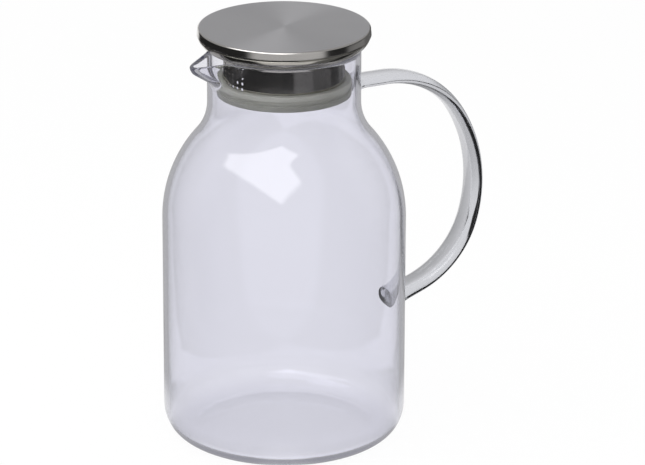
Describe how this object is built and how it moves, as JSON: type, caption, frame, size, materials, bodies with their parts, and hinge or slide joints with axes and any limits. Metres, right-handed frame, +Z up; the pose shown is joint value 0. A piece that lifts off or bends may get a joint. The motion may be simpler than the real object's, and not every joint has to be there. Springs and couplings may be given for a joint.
{
  "type": "glass tea jug",
  "caption": "Round clear glass tea jug with a short pulled spout, a fused glass loop handle and a flat steel lid that carries a strainer sleeve with a silicone seal.",
  "frame": {"origin": "centre of the jug's flat bottom, on the table and on the jug's axis", "axes": "+Z up along the jug's axis, +X towards the handle with the spout along -X, +Y across"},
  "size_m": [0.183, 0.13, 0.2284],
  "materials": {
    "glass": "clear blown borosilicate glass, fire-polished rim",
    "cover_steel": "stainless steel, top face brushed in circles, polished edge",
    "pressed_steel": "polished pressed stainless steel",
    "silicone": "translucent grey silicone, satin"
  },
  "bodies": {
    "jug": {"jug_body": "glass", "jug_handle": "glass"},
    "seal": {"seal_ring": "silicone"},
    "lid": {"lid_cover": "cover_steel", "lid_under_plate": "pressed_steel", "strainer_sleeve": "pressed_steel"}
  },
  "joints": [
    {"name": "lid_lift", "type": "slide", "parent": "jug", "child": "seal", "axis": [0, 0, 1], "range_m": [0, 0.06]},
    {"name": "lid_turn", "type": "hinge", "parent": "seal", "child": "lid", "pos_m": [0, 0, 0.2], "axis": [0, 0, 1], "continuous": true}
  ]
}
